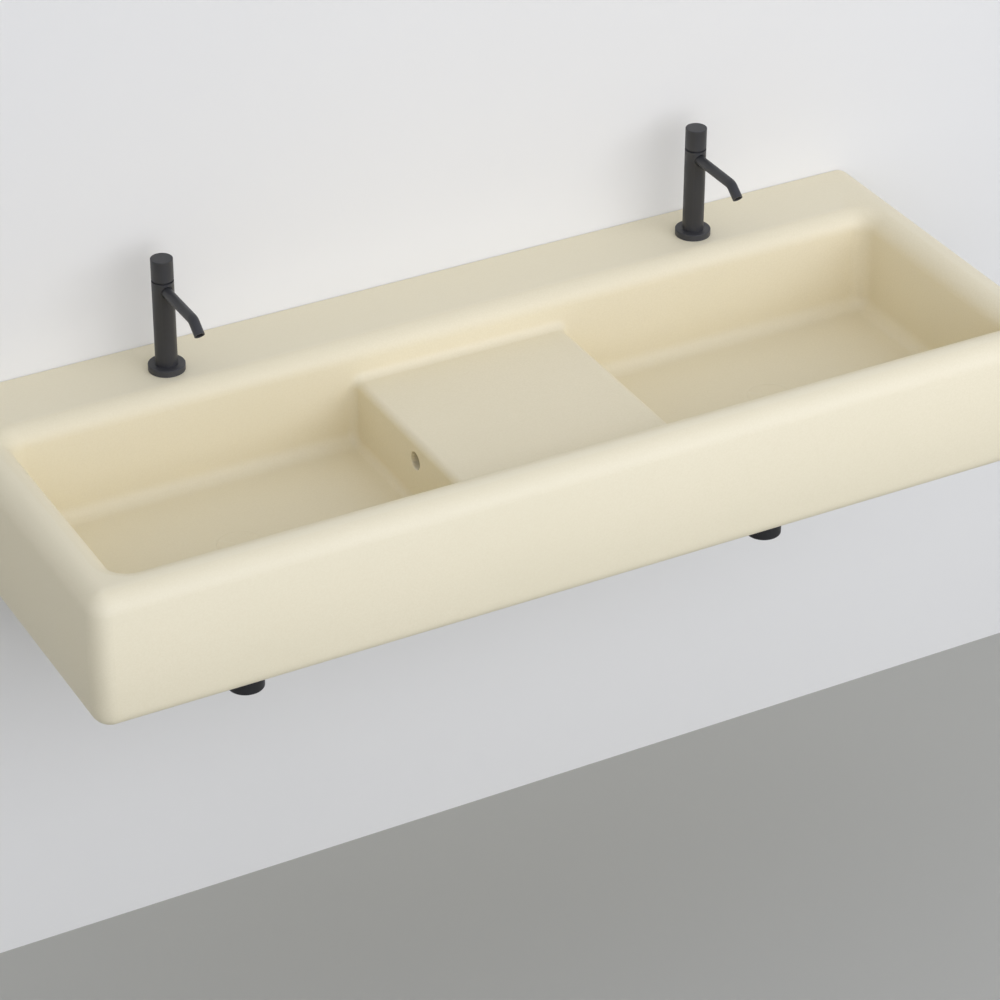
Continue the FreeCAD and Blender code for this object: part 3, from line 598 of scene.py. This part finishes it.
def cup_shapes(x):
    """Cup with a fluted grip band and a shallow round recess under its plain foot."""
    outline = [(0, CUP_LOW + 0.5), (9, CUP_LOW + 0.5, 0.2), (9.8, CUP_LOW, 0.2), (CUP, CUP_LOW, 1.3),
               (CUP, CUP_TOP - 18, 0.1), (CUP, CUP_TOP - 17.5, 0.1), (CUP, CUP_TOP - 3, 0.1),
               (CUP, CUP_TOP - 2.5, 0.1), (CUP, CUP_TOP, 0.4), (CUP - 2.5, CUP_TOP, 0.3),
               (CUP - 2.5, CUP_LOW + 3, 2), (0, CUP_LOW + 3)]
    flutes = ribbed(count=36, depth=0.55, low=CUP_TOP - 17.4, high=CUP_TOP - 3.1, inner=CUP - 0.5)
    return [moved(turned(outline, 0.2, closed=False, steps=288, shape=flutes), x, WASTE, 0)]


def rosette(x):
    """Spun rosette: domed skin with a rolled rim and a fine step at the pipe."""
    outline = [(34, 0, 0.1), (34, -1.6, 0.8), (32.4, -3.2, 1.0), (27, -7.2, 3.0), (21, -9.4, 2.0),
               (18.2, -10, 0.6), (PIPE_HOLE, -10, 0.5), (PIPE_HOLE, -8.4, 0.3), (20.6, -8.0, 2.0),
               (26.4, -5.8, 3.0), (31, -2.6, 1.0), (32.6, 0, 0.1)]
    return [moved(turned(outline, 0.2, steps=144), x, 0, OUTLET, into_wall=True)]


piece("trap_inlet_hand_nuts", ["trap_inlet_nuts"], "trap_black", "basin", both(inlet_nut), sharp=40)
piece("trap_gland_hand_nuts", ["trap_gland_nuts"], "trap_black", "basin", both(gland_nut), sharp=40)
piece("trap_outlet_hand_nuts", ["trap_outlet_nuts"], "trap_black", "basin", both(outlet_nut), sharp=40)
piece("wall_rosette_shells", ["wall_rosettes"], "trap_black", "basin", both(rosette), sharp=50)
for name, side in SIDES:
    piece(name + "_bottle_cup", [name + "_trap_cup"], "trap_black", "basin",
          cup_shapes(side * AXIS), sharp=40)


# Stage
def plain(name, color, roughness):
    """Plain paint that is clear from behind, so a view from there still shows the object."""
    n = Nodes(name, color, roughness, specular=0.15)
    tone = n.mix(n.ramp(n.noise(scale=1.5, detail=3.0), (0.3, 0.7)), color, scaled(color, 0.985))
    n.link(tone, n.bsdf.inputs["Base Color"])
    see_through = n.add("ShaderNodeBsdfTransparent")
    swap = n.add("ShaderNodeMixShader")
    n.link(n.add("ShaderNodeNewGeometry").outputs["Backfacing"], swap.inputs["Fac"])
    n.link(n.bsdf.outputs["BSDF"], swap.inputs[1])
    n.link(see_through.outputs["BSDF"], swap.inputs[2])
    n.link(swap.outputs["Shader"], n.tree.nodes["Material Output"].inputs["Surface"])
    return n.mat


def put_on_stage(name, mesh, material):
    mesh.materials.clear()
    mesh.materials.append(material)
    obj = bpy.data.objects.new(name, mesh)
    bpy.context.scene.collection.objects.link(obj)


def make_floor(material):
    mesh = bpy.data.meshes.new("floor")
    corners = [(-STAGE_X, -STAGE_Y), (STAGE_X, -STAGE_Y), (STAGE_X, STAGE_Y), (-STAGE_X, STAGE_Y)]
    mesh.from_pydata([(x, y, FLOOR_Z) for x, y in corners], [], [(0, 1, 2, 3)])
    put_on_stage("floor", mesh, material)


def arc(x, z, radius, start, count):
    """Points along a round in the wall, from a start angle on."""
    turns = [math.radians(start + ARC_STEP * i) for i in range(count)]
    return [(x + radius * math.cos(turn), z + radius * math.sin(turn)) for turn in turns]


def make_wall(material):
    """Wall with openings just inside the outlines of what stands on it, so backs get light from behind."""
    basin_low, basin_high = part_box("basin_body")
    inset = OPENING_INSET + OPENING_CORNER
    opening = []
    for quarter, (a, b) in enumerate(((1, 1), (-1, 1), (-1, -1), (1, -1))):
        x = a * (basin_high[0] - inset)
        z = (basin_high[2] if b > 0 else basin_low[2]) - b * inset
        opening += arc(x, z, OPENING_CORNER, 90 * quarter, 90 // ARC_STEP + 1)
    loops = [[(-STAGE_X, FLOOR_Z), (STAGE_X, FLOOR_Z), (STAGE_X, WALL_TOP), (-STAGE_X, WALL_TOP)], opening]
    loops += [arc(side * AXIS * MM, OUTLET * MM, ROSETTE_OPENING, 0, 360 // ARC_STEP) for _, side in SIDES]

    curve = bpy.data.curves.new("wall_curve", "CURVE")
    curve.dimensions = "2D"
    curve.fill_mode = "BOTH"
    for loop in loops:
        spline = curve.splines.new("POLY")
        spline.points.add(len(loop) - 1)
        for point, (x, z) in zip(spline.points, loop):
            point.co = (x, z, 0, 1)
        spline.use_cyclic_u = True
    temp = bpy.data.objects.new("wall_temp", curve)
    mesh = bpy.data.meshes.new_from_object(temp)
    bpy.data.objects.remove(temp)
    mesh.transform(Matrix.Translation((0, WALL_Y, 0)) @ Matrix.Rotation(math.radians(90), 4, "X"))
    put_on_stage("wall", mesh, material)


make_floor(plain("pale_floor", srgb(183, 182, 174), 0.8))
make_wall(plain("pale_wall", srgb(236, 234, 227), 0.9))


# Camera and light
def make_camera():
    data = bpy.data.cameras.new("camera")
    data.sensor_width = CAMERA_SENSOR
    data.lens = CAMERA_LENS
    data.clip_end = CAMERA_REACH
    camera = bpy.data.objects.new("camera", data)
    bpy.context.scene.collection.objects.link(camera)
    pitch, yaw, roll = (math.radians(v) for v in (CAMERA_PITCH, CAMERA_YAW, CAMERA_ROLL))
    ahead = Vector((math.sin(yaw) * math.cos(pitch), math.cos(yaw) * math.cos(pitch), -math.sin(pitch)))
    level = Vector((math.cos(yaw), -math.sin(yaw), 0))
    upright = level.cross(ahead)
    right = level * math.cos(roll) + upright * math.sin(roll)
    up = upright * math.cos(roll) - level * math.sin(roll)
    camera.matrix_world = Matrix((*zip(right, up, -ahead, CAMERA_PLACE), (0, 0, 0, 1)))
    bpy.context.scene.camera = camera


def make_light(name, place, target, size, power):
    data = bpy.data.lights.new(name, "AREA")
    data.shape = "RECTANGLE"
    data.size, data.size_y = size
    data.energy = power
    data.color = LIGHT_TINT
    lamp = bpy.data.objects.new(name, data)
    lamp.location = place
    lamp.rotation_mode = "QUATERNION"
    lamp.rotation_quaternion = (Vector(target) - Vector(place)).to_track_quat("-Z", "Y")
    bpy.context.scene.collection.objects.link(lamp)


def make_world():
    world = bpy.data.worlds.new("world")
    bpy.context.scene.world = world
    world.use_nodes = True
    sky = world.node_tree.nodes["Background"]
    sky.inputs["Color"].default_value = (*LIGHT_TINT, 1)
    sky.inputs["Strength"].default_value = WORLD_STRENGTH


make_camera()
for light in LIGHTS:
    make_light(*light)
make_world()
bpy.context.scene.view_settings.view_transform = "Standard"
